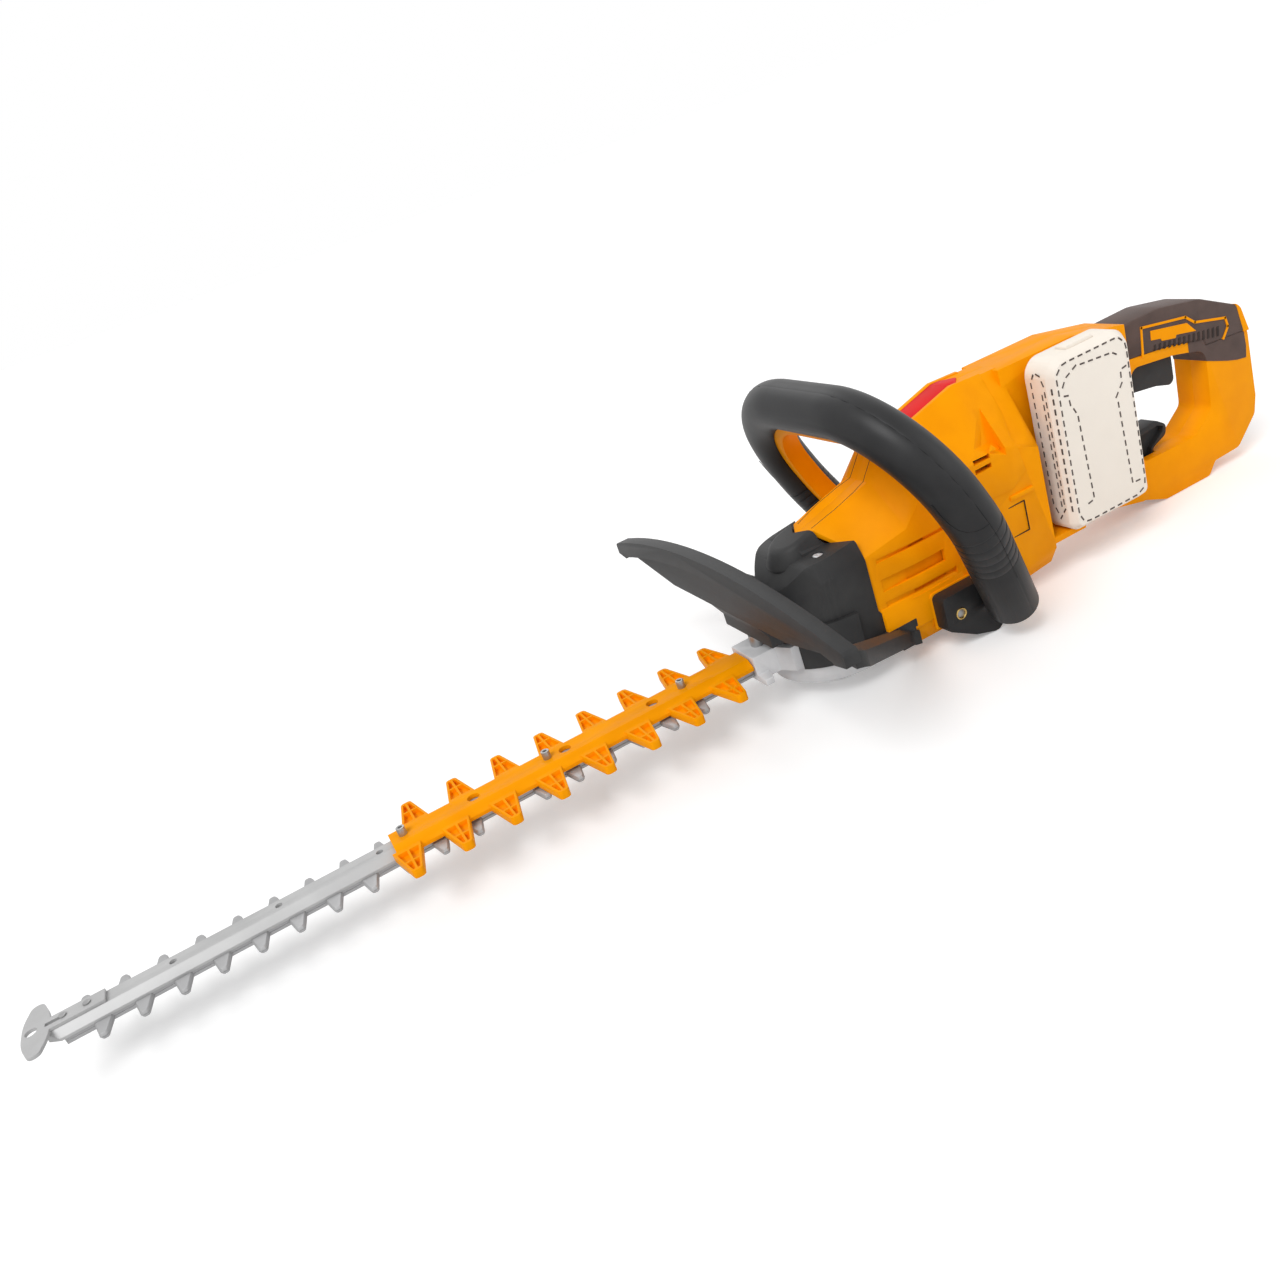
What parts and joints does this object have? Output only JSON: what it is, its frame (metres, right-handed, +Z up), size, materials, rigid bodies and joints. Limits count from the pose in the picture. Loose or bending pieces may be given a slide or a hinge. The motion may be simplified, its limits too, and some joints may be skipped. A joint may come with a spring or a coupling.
{
  "type": "cordless hedge trimmer",
  "caption": "Cordless hedge trimmer with double-acting reciprocating blades, a bow front handle, a hand guard and a D-shaped rear handle.",
  "frame": {"origin": "on the ground, at the centre of the gearcase's foot, straight under the crank's axis", "axes": "+X from the blade's tip to the rear handle, +Y to the tool's right, +Z up"},
  "size_m": [1.0162, 0.336, 0.2122],
  "materials": {
    "blade_steel": "ground",
    "bar_steel": "satin",
    "screw_steel": "satin",
    "gear_steel": "satin",
    "bearing_steel": "polished",
    "motor_iron": "matte",
    "cast_case": "as cast",
    "orange_plastic": "satin",
    "black_plastic": "fine texture",
    "pack_plastic": "fine texture",
    "soft_grip": "matte",
    "circuit_board": "satin",
    "contact_brass": "bare"
  },
  "bodies": {
    "machine": {"bar_bolts": "screw_steel", "support_bar": "bar_steel", "tip_plate": "bar_steel", "tip_rivets": "screw_steel", "finger_guard": "orange_plastic", "guard_posts": "screw_steel", "clamp_block": "cast_case", "clamp_bolt": "screw_steel", "gearcase_lower": "cast_case", "gearcase_upper": "cast_case", "bearings": "bearing_steel", "motor_stator": "motor_iron", "motor_cap": "black_plastic", "fan_shroud": "black_plastic", "hand_guard": "black_plastic", "nose_cover": "black_plastic", "nose_screws": "screw_steel", "left_housing": "orange_plastic", "right_housing": "orange_plastic", "rear_grip": "soft_grip", "trigger_pins": "screw_steel", "trigger_switch": "black_plastic", "control_board": "circuit_board", "battery_dock": "black_plastic", "pack_terminals": "contact_brass", "bow_front": "black_plastic", "bow_rear": "black_plastic", "left_foot_bracket": "black_plastic", "right_foot_bracket": "black_plastic", "foot_screws": "screw_steel"},
    "upper_blade": {"upper_blade": "blade_steel"},
    "lower_blade": {"lower_blade": "blade_steel"},
    "crank": {"crank_gear": "gear_steel", "crankshaft": "gear_steel"},
    "motor_rotor": {"rotor": "motor_iron", "pinion": "gear_steel", "fan": "black_plastic"},
    "trigger": {"trigger": "black_plastic"},
    "lock_lever": {"lock_lever": "black_plastic"},
    "switch_bail": {"switch_bail": "orange_plastic"},
    "battery": {"battery_pack": "pack_plastic"},
    "latch": {"pack_latch": "black_plastic"}
  },
  "joints": [
    {"name": "upper_blade_slide", "type": "slide", "parent": "machine", "child": "upper_blade", "axis": [1, 0, 0], "range_m": [-0.00625, 0.00625]},
    {"name": "lower_blade_slide", "type": "slide", "parent": "machine", "child": "lower_blade", "axis": [1, 0, 0], "range_m": [-0.00625, 0.00625]},
    {"name": "crank_spin", "type": "hinge", "parent": "machine", "child": "crank", "pos_m": [0, 0, 0.02], "axis": [0, 0, 1], "continuous": true},
    {"name": "rotor_spin", "type": "hinge", "parent": "machine", "child": "motor_rotor", "pos_m": [0.04723, 0, 0.06], "axis": [0, 0, 1], "continuous": true},
    {"name": "trigger_press", "type": "hinge", "parent": "machine", "child": "trigger", "pos_m": [0.31, 0, 0.121], "axis": [0, -1, 0], "range_deg": [0, 8], "stiffness_Nm_per_rad": 1.5, "springref_deg": -11.46},
    {"name": "lever_press", "type": "hinge", "parent": "machine", "child": "lock_lever", "pos_m": [0.296, 0, 0.028], "axis": [0, -1, 0], "range_deg": [0, 8], "stiffness_Nm_per_rad": 1.5, "springref_deg": -11.46},
    {"name": "bail_press", "type": "slide", "parent": "machine", "child": "switch_bail", "axis": [-0.4067, 0, 0.9135], "range_m": [0, 0.004], "stiffness_N_per_m": 600, "springref_m": -0.006},
    {"name": "pack_slide", "type": "slide", "parent": "machine", "child": "battery", "axis": [0, 0, 1], "range_m": [0, 0.074]},
    {"name": "latch_press", "type": "slide", "parent": "battery", "child": "latch", "axis": [0, 0, -1], "range_m": [0, 0.0025], "stiffness_N_per_m": 400, "springref_m": -0.003}
  ],
  "couplings": [
    {"joint": "lower_blade_slide", "follows": "upper_blade_slide", "ratio": -1},
    {"joint": "rotor_spin", "follows": "crank_spin", "ratio": -5.8182}
  ]
}
